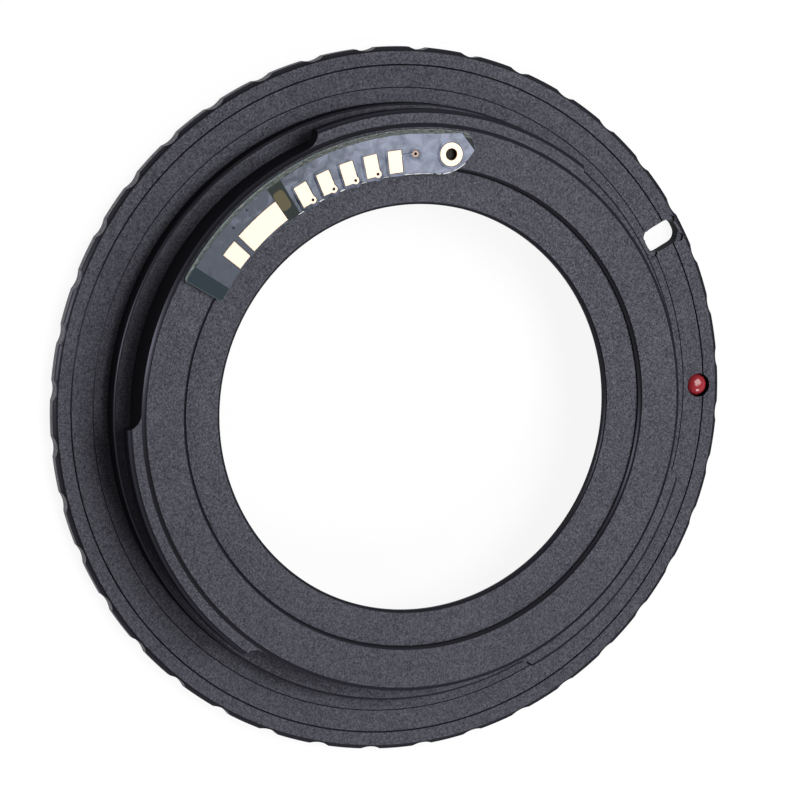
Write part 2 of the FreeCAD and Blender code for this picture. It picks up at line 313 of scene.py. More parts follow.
anodising = {
    "name": "blackAnodisedAluminium",
    "dark": "#333339",
    "light": "#54545b",
    "cloud": "#e4e4e8",
    "beadDent": 0.1,
    "clump": 0.2,
    "cloudSize": 7.0,
    "dull": 0.68,
    "bright": 0.56,
    "edgeTint": (0.25, 0.25, 0.3, 1.0),
    # colours of the smoother finish on walls and chamfers, darker than the blasted ones: partly painted
    # shade
    "turnedShadeDark": "#1e1e23",
    "turnedShadeLight": "#35353c",
    "toolMarks": 0.04,
}


rimWallReflection = {  # a lighter copy for the upright rim walls: painted reflection of the white floor
    "name": "rimWallReflectionAluminium",
    "dark": "#56555a",
    "light": "#85848a",
    "edgeTint": (0.5, 0.48, 0.47, 1.0),
}


def blackAnodisedAluminium(a):
    # blasted with fine beads, then dyed in the anodising bath: nearly black, with a grey sparkle where the
    # dents scatter the light. A dark specular tint dims what it reflects at a slant; walls look darker
    # through a darker finish, partly painted shade.
    # The dents are drawn about twice as coarse as real ones, or they would not show
    material, tree, point = startMaterial(a["name"], {
        "Metallic": 0.7, "Specular Tint": a["edgeTint"]})
    dents = addNode(tree, "ShaderNodeTexVoronoi", point, sockets={"Scale": 1 / (a["beadDent"] * mm)})
    clumps = addNode(tree, "ShaderNodeTexNoise", point, sockets={
        "Scale": 1 / (a["clump"] * mm), "Detail": 2.0})
    both = addNode(tree, "ShaderNodeMath", dents.outputs["Color"], clumps.outputs["Fac"], operation="ADD")
    grain = addNode(tree, "ShaderNodeMapRange", both, 0.55, 1.45)
    tone = addNode(tree, "ShaderNodeMix", data_type="RGBA", sockets={
        "Factor": grain, "A": colour(a["dark"]), "B": colour(a["light"])})
    patches = addNode(tree, "ShaderNodeTexNoise", point, sockets={"Scale": 1 / (a["cloudSize"] * mm)})
    cloudy = addNode(tree, "ShaderNodeMix", data_type="RGBA", sockets={
        "Factor": patches.outputs["Fac"], "A": colour(a["cloud"]), "B": (1, 1, 1, 1)})
    dyed = addNode(tree, "ShaderNodeMix", data_type="RGBA", blend_type="MULTIPLY", sockets={
        "Factor": 1.0, "A": tone.outputs["Result"], "B": cloudy.outputs["Result"]})
    roughness = addNode(tree, "ShaderNodeMapRange", grain, 0.0, 1.0, a["dull"], a["bright"])
    tree.links.new(roughness.outputs[0], tree.nodes["Principled BSDF"].inputs["Roughness"])
    return endMaterial(material, dyed, grain, 0.4, 0.02)


def turnedShadedAluminium(a):
    # chamfers, grooves and walls: turned smooth and bright only towards a lamp; their deeper black is
    # partly the smoother surface and partly painted shade
    material, tree, point = startMaterial("turnedShadedAluminium", {
        "Metallic": 0.85, "Roughness": 0.35, "Specular Tint": a["edgeTint"]})
    radius, _, height = radiusAndAngle(tree, point)
    rings = addNode(tree, "ShaderNodeCombineXYZ", radius, height)
    marks = addNode(tree, "ShaderNodeTexNoise", rings, sockets={
        "Scale": 1 / (a["toolMarks"] * mm), "Detail": 1.0})
    tone = addNode(tree, "ShaderNodeMix", data_type="RGBA", sockets={
        "Factor": marks.outputs["Fac"], "A": colour(a["turnedShadeDark"]), "B": colour(a["turnedShadeLight"])})
    return endMaterial(material, tone, marks, 0.3, 0.004)


def redEnamel(deep, light):
    # a drop of baked enamel: deep red with a wet gloss, and the colour a little uneven under it
    material, tree, point = startMaterial("redEnamel", {"Roughness": 0.16})
    depth = addNode(tree, "ShaderNodeTexNoise", point, sockets={"Scale": 1 / (0.5 * mm), "Detail": 3.0})
    tone = addNode(tree, "ShaderNodeMix", data_type="RGBA", sockets={
        "Factor": depth.outputs["Fac"], "A": colour(deep), "B": colour(light)})
    return endMaterial(material, tone)


laminateLook = {
    "green": "#1b2322",
    "teal": "#1c2a33",
    "tealFrom": 145.5,
    "patch": "#554e37",
    "patchRadii": (21.95, 23.81),
    "patchSpan": (122.2, 124.9),
    "marginFrom": 24.5,
    "marginEase": 0.06,
    "marginDraw": 0.28,  # how much narrower the margin is where the end is bare
    "marginDark": "#2b302d",
    "marginLight": "#7d827f",
    "fleckLength": 0.5,
    "fleckWidth": 0.07,
    "weave": 0.32,
    "rim": "#7d898a",
}


def glassEpoxy(a):
    # woven glass in green epoxy: the weave shows faintly in the resin, and the sawn rim is pale with fibres
    material, tree, point = startMaterial("glassEpoxy", {
        "Roughness": 0.32, "Specular IOR Level": 0.08})
    radius, angle, height = radiusAndAngle(tree, point)
    ease = math.radians(0.4)
    turned = addNode(tree, "ShaderNodeMapRange", angle, math.radians(a["tealFrom"]) - ease,
                     math.radians(a["tealFrom"]) + ease)
    ground = addNode(tree, "ShaderNodeMix", data_type="RGBA", sockets={
        "Factor": turned, "A": colour(a["green"]), "B": colour(a["teal"])})
    # a wave texture at scale 1 repeats about every 0.3
    cloth = addNode(tree, "ShaderNodeTexWave", point, sockets={
        "Scale": 0.3 / (a["weave"] * mm), "Distortion": 1.5, "Detail": 1.0})
    woven = addNode(tree, "ShaderNodeMix", data_type="RGBA", blend_type="SOFT_LIGHT", sockets={
        "Factor": 0.04, "A": ground.outputs["Result"], "B": cloth.outputs["Color"]})
    # the bare resin patch in the window, a rounded block in radius and angle
    radii = [r * mm for r in a["patchRadii"]]
    span = [math.radians(end) for end in a["patchSpan"]]
    across = addNode(tree, "ShaderNodeMapRange", radius, *radii, -1.0, 1.0, clamp=False)
    along = addNode(tree, "ShaderNodeMapRange", angle, *span, -1.0, 1.0, clamp=False)
    square = addNode(tree, "ShaderNodeCombineXYZ", across, along)
    folded = addNode(tree, "ShaderNodeVectorMath", square, square, operation="MULTIPLY")
    reach = addNode(tree, "ShaderNodeVectorMath", folded, operation="LENGTH").outputs["Value"]
    inPatch = addNode(tree, "ShaderNodeMapRange", reach, 1.08, 0.9)
    windowed = addNode(tree, "ShaderNodeMix", data_type="RGBA", sockets={
        "Factor": inPatch, "A": woven.outputs["Result"], "B": colour(a["patch"])})
    # the margin outside the mask, with glass fibres lying along the cut
    run = addNode(tree, "ShaderNodeMath", angle, a["marginFrom"] / a["fleckLength"], operation="MULTIPLY")
    rise = addNode(tree, "ShaderNodeMath", radius, 1 / (a["fleckWidth"] * mm), operation="MULTIPLY")
    stretched = addNode(tree, "ShaderNodeCombineXYZ", run, rise)
    fibres = addNode(tree, "ShaderNodeTexNoise", stretched, sockets={
        "Scale": 1.0, "Detail": 3.0, "Roughness": 0.65})
    pale = addNode(tree, "ShaderNodeMapRange", fibres.outputs["Fac"], 0.42, 0.68)
    margin = addNode(tree, "ShaderNodeMix", data_type="RGBA", sockets={
        "Factor": pale, "A": colour(a["marginDark"]), "B": colour(a["marginLight"])})
    drawn = addNode(tree, "ShaderNodeMath", turned, -a["marginDraw"] * mm, radius, operation="MULTIPLY_ADD")
    outside = addNode(tree, "ShaderNodeMapRange", drawn, (a["marginFrom"] - a["marginEase"]) * mm,
                      a["marginFrom"] * mm)
    whole = addNode(tree, "ShaderNodeMix", data_type="RGBA", sockets={
        "Factor": outside, "A": windowed.outputs["Result"], "B": margin.outputs["Result"]})
    # the sawn edges, but not the drilled holes
    down = addNode(tree, "ShaderNodeMapRange", height, (boardTop - 0.002) * mm, (boardTop - 0.03) * mm)
    sawn = addNode(tree, "ShaderNodeMath", outside, turned, operation="MAXIMUM")
    cut = addNode(tree, "ShaderNodeMath", down, sawn, operation="MULTIPLY")
    rimmed = addNode(tree, "ShaderNodeMix", data_type="RGBA", sockets={
        "Factor": cut, "A": whole.outputs["Result"], "B": colour(a["rim"])})
    rough = addNode(tree, "ShaderNodeMath", fibres.outputs["Fac"], outside, operation="MULTIPLY")
    return endMaterial(material, rimmed, rough, 0.6, 0.05)


maskLook = {
    # the lit and the unlit ends of a painted sheen along the mask; the lacquer's pools also blend between
    # them
    "thin": "#7b8092",
    "thick": "#1b212d",
    "sheenBrightAt": 79.0,
    "sheenFadedAt": 134.0,
    "pool": 1.3,
    "sheen": (0.8, 0.87, 1.0, 1.0),
    "dust": 0.16,  # coarser than the real dust, or it would not show
}


def solderMask(a):
    # a brushed and baked lacquer: glossy blue-grey and pooled unevenly, lighter near the nose and dark
    # towards the square end, a painted sheen
    material, tree, point = startMaterial("solderMask", {
        "Roughness": 0.2, "Specular IOR Level": 0.24, "Specular Tint": a["sheen"]})
    angle = radiusAndAngle(tree, point)[1]
    pools = addNode(tree, "ShaderNodeTexNoise", point, sockets={
        "Scale": 1 / (a["pool"] * mm), "Detail": 3.0, "Roughness": 0.55, "Distortion": 0.6})
    # the fade by angle from thin to thick is a painted sheen, bright near the nose; the pools add uneven
    # tone
    span = [math.radians(a[end]) for end in ("sheenBrightAt", "sheenFadedAt")]
    thick = addNode(tree, "ShaderNodeMapRange", angle, *span, clamp=False)
    drift = addNode(tree, "ShaderNodeMath", pools.outputs["Fac"], 2.0, -0.96, operation="MULTIPLY_ADD")
    depth = addNode(tree, "ShaderNodeMath", thick, drift, operation="ADD", use_clamp=True)
    tone = addNode(tree, "ShaderNodeMix", data_type="RGBA", sockets={
        "Factor": depth, "A": colour(a["thin"]), "B": colour(a["thick"])})
    dust = addNode(tree, "ShaderNodeTexVoronoi", point, sockets={"Scale": 1 / (a["dust"] * mm)})
    fine = addNode(tree, "ShaderNodeMix", data_type="RGBA", blend_type="SOFT_LIGHT", sockets={
        "Factor": 0.07, "A": tone.outputs["Result"], "B": dust.outputs["Color"]})
    return endMaterial(material, fine, pools, 0.5, 0.05)


goldLook = {
    "gold": "#dac9b8",
    "edge": "#8a5a30",
    # deep is painted shade, laid on from this depth below the copper's top down the eyelet's bore
    "deep": "#2a1810",
    "edgeDepth": 0.012,
    "boreShadeFrom": 0.06,
    "testVia": (22.76, 90.7),
    "testLand": 0.36,
    "bareCopper": "#9c8a82",
}


def goldPlating(a):
    # thin gold over nickel on copper: warm and nearly white under soft light, brown where only copper shows
    material, tree, point = startMaterial("goldPlating", {"Roughness": 0.62, "Metallic": 1.0})
    height = addNode(tree, "ShaderNodeSeparateXYZ", point).outputs["Z"]
    grain = addNode(tree, "ShaderNodeTexNoise", point, sockets={"Scale": 1 / (0.2 * mm), "Detail": 2.0})
    plated = addNode(tree, "ShaderNodeMix", data_type="RGBA", blend_type="SOFT_LIGHT", sockets={
        "Factor": 0.15, "A": colour(a["gold"]), "B": grain.outputs["Color"]})
    via = polar(*a["testVia"], copperTop) * mm
    away = addNode(tree, "ShaderNodeVectorMath", point, via, operation="DISTANCE")
    bare = addNode(tree, "ShaderNodeMath", away.outputs["Value"], a["testLand"] * mm, operation="LESS_THAN")
    top = addNode(tree, "ShaderNodeMix", data_type="RGBA", sockets={
        "Factor": bare, "A": plated.outputs["Result"], "B": colour(a["bareCopper"])})
    side = addNode(tree, "ShaderNodeMapRange", height, (copperTop - a["edgeDepth"]) * mm,
                   (copperTop - 2 * a["edgeDepth"]) * mm)
    edged = addNode(tree, "ShaderNodeMix", data_type="RGBA", sockets={
        "Factor": side, "A": top.outputs["Result"], "B": colour(a["edge"])})
    # darker still further down, in the eyelet's bore: painted shade in the hole
    down = addNode(tree, "ShaderNodeMapRange", height, (copperTop - a["boreShadeFrom"]) * mm,
                   (copperTop - 2 * a["boreShadeFrom"]) * mm)
    deep = addNode(tree, "ShaderNodeMix", data_type="RGBA", sockets={
        "Factor": down, "A": edged.outputs["Result"], "B": colour(a["deep"])})
    return endMaterial(material, deep, grain, 0.15, 0.01)


def curedGlue(name, thin, thick):
    # clear epoxy glue: a film over black metal looks dark, and what was squeezed out and rubbed looks white
    material, tree, point = startMaterial(name, {"Roughness": 0.45, "Specular IOR Level": 0.1})
    haze = addNode(tree, "ShaderNodeTexNoise", point, sockets={"Scale": 1 / (0.4 * mm), "Detail": 2.0})
    tone = addNode(tree, "ShaderNodeMix", data_type="RGBA", sockets={
        "Factor": haze.outputs["Fac"], "A": colour(thin), "B": colour(thick)})
    return endMaterial(material, tone)


def glassFibre(dull, pale):
    # ends of glass cloth torn loose by the saw: dull green to nearly white
    material, tree, point = startMaterial("glassFibre", {"Roughness": 0.5})
    mixture = addNode(tree, "ShaderNodeTexNoise", point, sockets={"Scale": 1 / (0.25 * mm), "Detail": 1.0})
    shade = addNode(tree, "ShaderNodeMapRange", mixture.outputs["Fac"], 0.4, 0.62)
    tone = addNode(tree, "ShaderNodeMix", data_type="RGBA", sockets={
        "Factor": shade, "A": colour(dull), "B": colour(pale)})
    return endMaterial(material, tone)


def mouldedChipEpoxy(resin, fleck):
    # black moulding compound filled with silica: dull, with a fine grey fleck
    material, tree, point = startMaterial("mouldedChipEpoxy", {"Roughness": 0.55})
    filler = addNode(tree, "ShaderNodeTexVoronoi", point, sockets={"Scale": 1 / (0.05 * mm)})
    tone = addNode(tree, "ShaderNodeMix", data_type="RGBA", sockets={
        "Factor": filler.outputs["Color"], "A": colour(resin), "B": colour(fleck)})
    return endMaterial(material, tone)


def firedCeramic(dark, light):
    # a fired barium titanate block: tan, dense and slightly mottled
    material, tree, point = startMaterial("firedCeramic", {"Roughness": 0.45})
    mottle = addNode(tree, "ShaderNodeTexNoise", point, sockets={"Scale": 1 / (0.12 * mm), "Detail": 3.0})
    tone = addNode(tree, "ShaderNodeMix", data_type="RGBA", sockets={
        "Factor": mottle.outputs["Fac"], "A": colour(dark), "B": colour(light)})
    return endMaterial(material, tone)


ringFinish = blackAnodisedAluminium(anodising)
# a lighter copy of the anodising for the upright rim walls: painted reflection of the white floor
rimWallReflectionFinish = blackAnodisedAluminium({**anodising, **rimWallReflection})
# smoother and darker: the dark is partly painted shade on walls and chamfers
turnedShadedFinish = turnedShadedAluminium(anodising)
beadFinish = redEnamel("#7f1a20", "#a0323b")
laminateFinish = glassEpoxy(laminateLook)
maskFinish = solderMask(maskLook)
goldFinish = goldPlating(goldLook)
filmFinish = curedGlue("curedGlueFilm", "#171310", "#2a2420")
glueFinish = curedGlue("rubbedGlueBead", "#c4c8c6", "#ffffff")
fibreFinish = glassFibre("#3d4338", "#c6ccbb")
chipFinish = mouldedChipEpoxy("#161617", "#2c2c2e")
ceramicFinish = firedCeramic("#8d7350", "#b79b78")
print("materials made")


# Ring: turned, milled between its lugs, scalloped and threaded

ringShape = {
    "entryRadius": 21.2,
    "rimRadius": 31.85,
    "rimChamfer": 0.2,
    "rimBevelWidth": 0.35,
    "rimBevelHeight": 0.3,
    "grooves": ((30.25, 0.12), (28.24, 0.075)),  # radius and width
    "grooveDepthRatio": 0.6,
    "pilotRadius": 26.95,
    "pilotHeight": 1.88,
    "pilotChamfer": 0.15,
    "barrelRadius": 25.42,
    "barrelChamfer": 0.3,
    "lugRadius": 26.62,
    "lugChamfer": 0.29,
    "lugThickness": 1.6,
    "lugCutter": 1.5,
    "lugSpans": ((52.5, 109.9), (181.2, 232.4), (295.0, 343.1)),
    "recessRadius": 21.37,
    "recessChamfer": 0.29,
    "recessDepth": 0.47,
    "lipBore": 18.2,
    "lipChamfer": 0.2,
    "lipThickness": 0.78,
    "reliefRadius": 21.1,
    "reliefHeight": 0.7,
    "threadCrest": 20.4587,
    "threadRoot": 21.0,
    "threadPitch": 1.0,
    "threadRunIn": 1.0,
    "threadRunOut": 0.2,
    "threadClear": 0.12,  # how far the thread's cutter stands inside the bore
    "edgeRound": 0.045,
    "scallops": 40,
    "scallopWidth": 1.9,
    "scallopDepth": 0.25,
    "scallopToolHeight": 8.0,
    "reflectionInset": 0.1,  # the upright walls take the painted reflection from this far inside the scallops outwards
    "millGap": 0.002,  # between the milled path and the barrel
    "columns": 720,
}

cuts = {
    "slotAngle": 28.2,
    "slotInner": 27.85,
    "slotLength": 3.37,
    "slotWidth": 2.3,
    "slotCorner": 0.95,
    "markRadius": 0.42,
    "markInset": 0.22,
    "markDepth": 0.24,
    "holeRadius": 1.1,
    "beadPlace": 29.78,
    "pocketRadii": (22.0, 24.6),
    "pocketSpan": (125.018, 138.296),
    "pocketDepth": 1.12,
    "gapClear": (0.1, 0.05),  # how far the cutter goes below and above the lugs
    "toolSpan": (-1.0, 3.0),  # heights that the cutters of the flange reach
    "toolRise": 1.0,
}


def ringHeights(s):
    lip = rearFace - s["recessDepth"]
    lugTop = rearFace - s["barrelChamfer"]
    return {
        "pilot": seatFace + s["pilotHeight"],
        "lugTop": lugTop,
        "lugUnder": lugTop - s["lugThickness"],
        "lip": lip,
        "lipUnder": lip - s["lipThickness"],
        "threadEnd": lip - s["lipThickness"] - s["reliefHeight"],
    }


def turnedProfile(s):
    # once round the section, with the lugs still a whole collar
    h, e = ringHeights(s), s["edgeRound"]
    corners = [
        ((s["entryRadius"], 0), e),
        ((s["rimRadius"] - s["rimChamfer"], 0), e),
        ((s["rimRadius"], s["rimChamfer"]), e),
        ((s["rimRadius"], seatFace - s["rimBevelHeight"]), e),
        ((s["rimRadius"] - s["rimBevelWidth"], seatFace), e),
    ]
    for radius, width in s["grooves"]:
        corners += [((radius + width / 2, seatFace), width / 8),
                    ((radius, seatFace - width * s["grooveDepthRatio"]), 0),
                    ((radius - width / 2, seatFace), width / 8)]
    corners += [
        ((s["pilotRadius"], seatFace), 0),
        ((s["pilotRadius"], h["pilot"] - s["pilotChamfer"]), e),
        ((s["pilotRadius"] - s["pilotChamfer"], h["pilot"]), e),
        ((s["barrelRadius"], h["pilot"]), 0),
        ((s["barrelRadius"], h["lugUnder"]), 0),
        ((s["lugRadius"], h["lugUnder"]), e),
        ((s["lugRadius"], h["lugTop"] - s["lugChamfer"]), e),
        ((s["lugRadius"] - s["lugChamfer"], h["lugTop"]), e),
        ((s["barrelRadius"], h["lugTop"]), 0),
        ((s["barrelRadius"] - s["barrelChamfer"], rearFace), e),
        ((s["recessRadius"] + s["recessChamfer"], rearFace), e),
        ((s["recessRadius"], rearFace - s["recessChamfer"]), e),
        ((s["recessRadius"], h["lip"]), 0),
        ((s["lipBore"] + s["lipChamfer"], h["lip"]), e),
        ((s["lipBore"], h["lip"] - s["lipChamfer"]), e),
        ((s["lipBore"], h["lipUnder"]), e),
        ((s["reliefRadius"], h["lipUnder"]), 0),
        ((s["reliefRadius"], h["threadEnd"]), 0),
        ((s["threadCrest"], h["threadEnd"] - (s["reliefRadius"] - s["threadCrest"])), 0),
        ((s["threadCrest"], s["entryRadius"] - s["threadCrest"]), 0),
    ]
    return rounded(corners)


def gripScallops():
    # round cutters in a ring about the rim, all cut out at once
    tree, given = geometryTree("gripScallops", count=1, centreRadius=0.0, toolRadius=0.0, toolHeight=0.0,
                               finish=ringFinish)
    circle = addNode(tree, "GeometryNodeMeshCircle", given["count"], given["centreRadius"])
    half = addNode(tree, "ShaderNodeMath", math.pi, given["count"], operation="DIVIDE")
    spin = addNode(tree, "ShaderNodeCombineXYZ", 0.0, 0.0, half)
    ringOfPoints = addNode(tree, "GeometryNodeTransform", circle, sockets={"Rotation": spin})
    tool = addNode(tree, "GeometryNodeMeshCylinder", 96, sockets={"Radius": given["toolRadius"],
                                                                 "Depth": given["toolHeight"]})
    tools = addNode(tree, "GeometryNodeInstanceOnPoints", ringOfPoints, sockets={"Instance": tool})
    cut = addNode(tree, "GeometryNodeMeshBoolean", given["geometry"], tools, operation="DIFFERENCE",
                  solver="MANIFOLD")
    finishTree(tree, cut, given["finish"])
    return tree


def lensThread():
    # a 60 degree groove on a right-handed spiral, open at the front and running out in the relief
    tree, given = geometryTree("lensThread", turns=0.0, pitch=0.0, rootRadius=0.0, toolHeight=0.0,
                               startHeight=0.0, finish=ringFinish)
    climb = addNode(tree, "ShaderNodeMath", given["turns"], given["pitch"], operation="MULTIPLY")
    middle = addNode(tree, "ShaderNodeMath", given["toolHeight"], -0.5, given["rootRadius"],
                     operation="MULTIPLY_ADD")
    path = addNode(tree, "GeometryNodeCurveSpiral", 144, given["turns"], middle, middle, climb, True)
    upright = addNode(tree, "GeometryNodeSetCurveNormal", path, mode="Z_UP")
    flat = addNode(tree, "ShaderNodeMath", given["pitch"], 0.125, operation="MULTIPLY")
    mouth = addNode(tree, "ShaderNodeMath", given["toolHeight"], 2 * math.tan(math.pi / 6), flat,
                    operation="MULTIPLY_ADD")
    tooth = addNode(tree, "GeometryNodeCurvePrimitiveQuadrilateral", mode="TRAPEZOID", sockets={
        "Height": given["toolHeight"], "Bottom Width": flat, "Top Width": mouth, "Offset": 0.0})
    outward = addNode(tree, "GeometryNodeTransform", tooth, sockets={"Rotation": (0, 0, math.pi / 2)})
    groove = addNode(tree, "GeometryNodeCurveToMesh", upright, outward, sockets={"Fill Caps": True})
    start = addNode(tree, "ShaderNodeCombineXYZ", 0.0, 0.0, given["startHeight"])
    placedTool = addNode(tree, "GeometryNodeTransform", groove, sockets={"Translation": start})
    cut = addNode(tree, "GeometryNodeMeshBoolean", given["geometry"], placedTool, operation="DIFFERENCE",
                  solver="MANIFOLD")
    finishTree(tree, cut, given["finish"])
    return tree


def addPrism(bm, outline, bottom, top):
    addLoft(bm, [[Vector((p.x, p.y, z)) for p in outline] for z in (bottom, top)])


def roundedBox(length, width, corner, count=6):
    points = []
    for quarter, (x, y) in enumerate(((1, 1), (-1, 1), (-1, -1), (1, -1))):
        middle = Vector((x * (length / 2 - corner), y * (width / 2 - corner), 0))
        points += [middle + polar(corner, 90 * (quarter + i / count)) for i in range(count + 1)]
    return points


def lugGap(s, start, end):
    # the milled path between two lugs, hollow at both ends where the round cutter stopped
    cutter = s["lugCutter"]
    rise = s["lugRadius"] - s["barrelRadius"]
    halfChord = math.sqrt(cutter ** 2 - (cutter - rise) ** 2)
    reach = math.degrees(math.asin(halfChord / s["lugRadius"]))
    middle = s["barrelRadius"] + cutter
    swings = [math.radians(6 * i) for i in range(1, 21)]
    first, last = start + reach, end - reach
    points = arcPoints(s["barrelRadius"] + s["millGap"], first, last)
    points += [beside(middle, last, -cutter * math.cos(a), cutter * math.sin(a)) for a in swings]
    points += arcPoints(s["rimRadius"], last, first)
    swings.reverse()
    points += [beside(middle, first, -cutter * math.cos(a), -cutter * math.sin(a)) for a in swings]
    return points


def cutterObject(name, shapes):
    bm = bmesh.new()
    for outline, bottom, top in shapes:
        addPrism(bm, outline, bottom, top)
    return meshObject(name, meshFrom(bm, name, 0.0))


def addCuts(piece, s, c):
    h = ringHeights(s)
    middle = c["slotInner"] + c["slotLength"] / 2
    toolBottom, toolTop = c["toolSpan"]
    under, over = h["lugUnder"] - c["gapClear"][0], h["lugTop"] + c["gapClear"][1]
    ends = [end for span in s["lugSpans"] for end in span]
    ends = ends[1:] + [ends[0] + 360]
    slot = placed(roundedBox(c["slotLength"], c["slotWidth"], c["slotCorner"]), middle, c["slotAngle"])
    hole = circlePoints(polar(c["beadPlace"], 0), c["holeRadius"], 48)
    pocket = sector(*c["pocketRadii"], *c["pocketSpan"])
    gaps = [(lugGap(s, *gap), under, over) for gap in zip(ends[::2], ends[1::2])]
    through = cutterObject("through", gaps + [
        (slot, toolBottom, toolTop),
        (hole, nodeBottom("index_bead"), toolTop),
        (pocket, rearFace - c["pocketDepth"], rearFace + c["toolRise"]),
    ])
    outward, along = (c[side] / 2 - c["markInset"] for side in ("slotLength", "slotWidth"))
    drilled = [beside(middle, c["slotAngle"], x * outward, y * along) for x in (-1, 1) for y in (-1, 1)]
    drills = [circlePoints(place, c["markRadius"], 24) for place in drilled]
    marks = cutterObject("marks", [(drill, seatFace - c["markDepth"], toolTop) for drill in drills])
    for cutter in (through, marks):
        modifier = piece.modifiers.new(cutter.name, "BOOLEAN")
        modifier.operation = "DIFFERENCE"
        modifier.solver = "MANIFOLD"
        modifier.object = cutter
    applied(piece)
    for cutter in (through, marks):
        bpy.data.objects.remove(cutter)


def makeRing(s):
    piece = meshObject("adapterRing", latheMesh("adapterRing", turnedProfile(s), Vector(), s["columns"]))
    tool = (s["scallopWidth"] ** 2 / 4 + s["scallopDepth"] ** 2) / (2 * s["scallopDepth"])
    addTree(piece, gripScallops(), {
        "count": s["scallops"],
        "centreRadius": (s["rimRadius"] - s["scallopDepth"] + tool) * mm,
        "toolRadius": tool * mm,
        "toolHeight": s["scallopToolHeight"] * mm,
        "finish": ringFinish,
    })
    run = ringHeights(s)["threadEnd"] + s["threadRunIn"] + s["threadRunOut"]
    addTree(piece, lensThread(), {
        "turns": run / s["threadPitch"],
        "pitch": s["threadPitch"] * mm,
        "rootRadius": s["threadRoot"] * mm,
        "toolHeight": (s["threadRoot"] - s["threadCrest"] + s["threadClear"]) * mm,
        "startHeight": -s["threadRunIn"] * mm,
        "finish": ringFinish,
    })
    applied(piece)
    addCuts(piece, s, cuts)
    weightNormals(piece)
    finish(piece, ringFinish, "ring", "adapter_ring")
    piece.data.materials.append(turnedShadedFinish)
    piece.data.materials.append(rimWallReflectionFinish)
    # upright rim walls from here outwards take the lighter copy: painted reflection of the white floor
    grip = (s["rimRadius"] - s["scallopDepth"] - s["reflectionInset"]) * mm
    for face in piece.data.polygons:
        upright = abs(face.normal.z) < 0.3
        if upright and math.hypot(face.center.x, face.center.y) > grip:
            face.material_index = 2
        elif abs(face.normal.z) < 0.99:  # what slopes or stands upright takes the smoother, darker finish; its dark is partly painted shade
            face.material_index = 1
    return piece


ring = makeRing(ringShape)
print("ring made,", len(ring.data.polygons), "faces")


# Contact board

boardShape = {
    "innerRadius": 21.0,
    "outerRadius": 24.9,
    "squareEnd": 150.118,
    "squareCorner": 0.35,
    "eyeletAngle": 82.2,
    "eyeletRadius": 22.82,
    "nose": (23.56, 76.95),  # radius and angle
    "noseCorner": (24.52, 78.15),
    "shoulderAngle": 79.1,
    "belly": (21.75, 79.75),
    "heelAngle": 84.3,
    "maskInset": 0.05,
    "maskShoulder": (24.81, 80.52),
    "edgeRound": 0.06,
}

contactShape = {
    "innerRadius": 21.22,
    "length": 1.98,
    "width": 1.27,
    "count": 5,
    "firstAngle": 95.6,
    "pitchAngle": 5.72,
    "viaInward": 0.2,
    "viaAside": 0.22,
    "viaHole": 0.13,
    "viaLand": 0.34,
    "padCorner": 0.06,
    "maskGap": 0.05,
    "testViaAngle": 90.7,
    "testViaRadius": 22.76,
    "testViaLand": 0.31,
    "traceWidth": 0.18,
    "eyeletLand": 1.06,
    "eyeletWall": 0.58,
    "eyeletHole": 0.52,
    "eyeletRound": 0.03,
    "windowGapAngle": 1.5,
    "windowAngle": 3.4,
    "longAngle": 11.0,
    "gapAngle": 1.45,
    "squareAngle": 3.85,
    "maskEndAngle": 5.4,
    "maskRim": 24.53,
    "maskEndRim": 24.68,
    "maskRimStart": 86.0,
    "maskFilm": 0.03,
    "maskRound": 0.008,
    "windowLap": 0.03,  # degrees of mask between the window and the long contact
    "edgeRound": 0.01,
}

maskRelief = {
    "collarRise": 0.04,  # the lacquer climbs over the rim of the copper under it
    "collarInner": 0.05,
    "collarTop": 0.15,
    "collarFoot": 0.3,
    "collarRound": 0.01,
    "rooted": 0.004,  # how deep collars, ridge and bumps stand in the film
    "ridgeRise": 0.08,
    "ridgeHalfWidth": 0.15,
    "ridgeAtVia": 0.30,
    "bumps": ((24.03, 135.5), (24.27, 130.85)),
    "bumpRadius": 0.13,
    "bumpRise": 0.045,
}


def boardPlaces(c):
    middle = c["innerRadius"] + c["length"] / 2
    last = c["firstAngle"] + (c["count"] - 1) * c["pitchAngle"]
    windowStart = last + math.degrees(c["width"] / 2 / middle) + c["windowGapAngle"]
    windowEnd = windowStart + c["windowAngle"]
    longEnd = windowEnd + c["longAngle"]
    squareStart = longEnd + c["gapAngle"]
    squareEnd = squareStart + c["squareAngle"]
    return {
        "middle": middle,
        "window": (windowStart, windowEnd),
        "long": (windowEnd, longEnd),
        "square": (squareStart, squareEnd),
        "maskEnd": squareEnd + c["maskEndAngle"],
    }


def noseToHeel(b, inset):
    # the pointed end, from the tip round the belly to the inner edge; an inset moves the belly both ways
    tip = polar(b["nose"][0] - inset, b["nose"][1] + math.degrees(inset / b["nose"][0]))
    belly = polar(b["belly"][0] + inset * 0.7, b["belly"][1] + math.degrees(inset * 0.7 / b["belly"][0]))
    return arcThrough(tip, belly, polar(b["innerRadius"] + inset, b["heelAngle"]))


def laminateOutline(b):
    corner = math.degrees(b["squareCorner"] / b["outerRadius"])
    end = b["squareEnd"]
    shoulder = polar(b["outerRadius"], b["shoulderAngle"])
    points = list(reversed(arcThrough(polar(*b["nose"]), polar(*b["noseCorner"]), shoulder, 6)))[:-1]
    points += noseToHeel(b, 0.0)
    points += arcPoints(b["innerRadius"], b["heelAngle"], end - corner)[1:]
    rounding = b["squareCorner"]
    for radius, first in ((b["innerRadius"] + rounding, 180), (b["outerRadius"] - rounding, 90)):
        centre = polar(radius, end - corner)
        for i in range(1, 6):
            points.append(centre + polar(rounding, end + first - 90 * i / 5))
    points += arcPoints(b["outerRadius"], end - corner, b["shoulderAngle"])[1:-1]
    return points


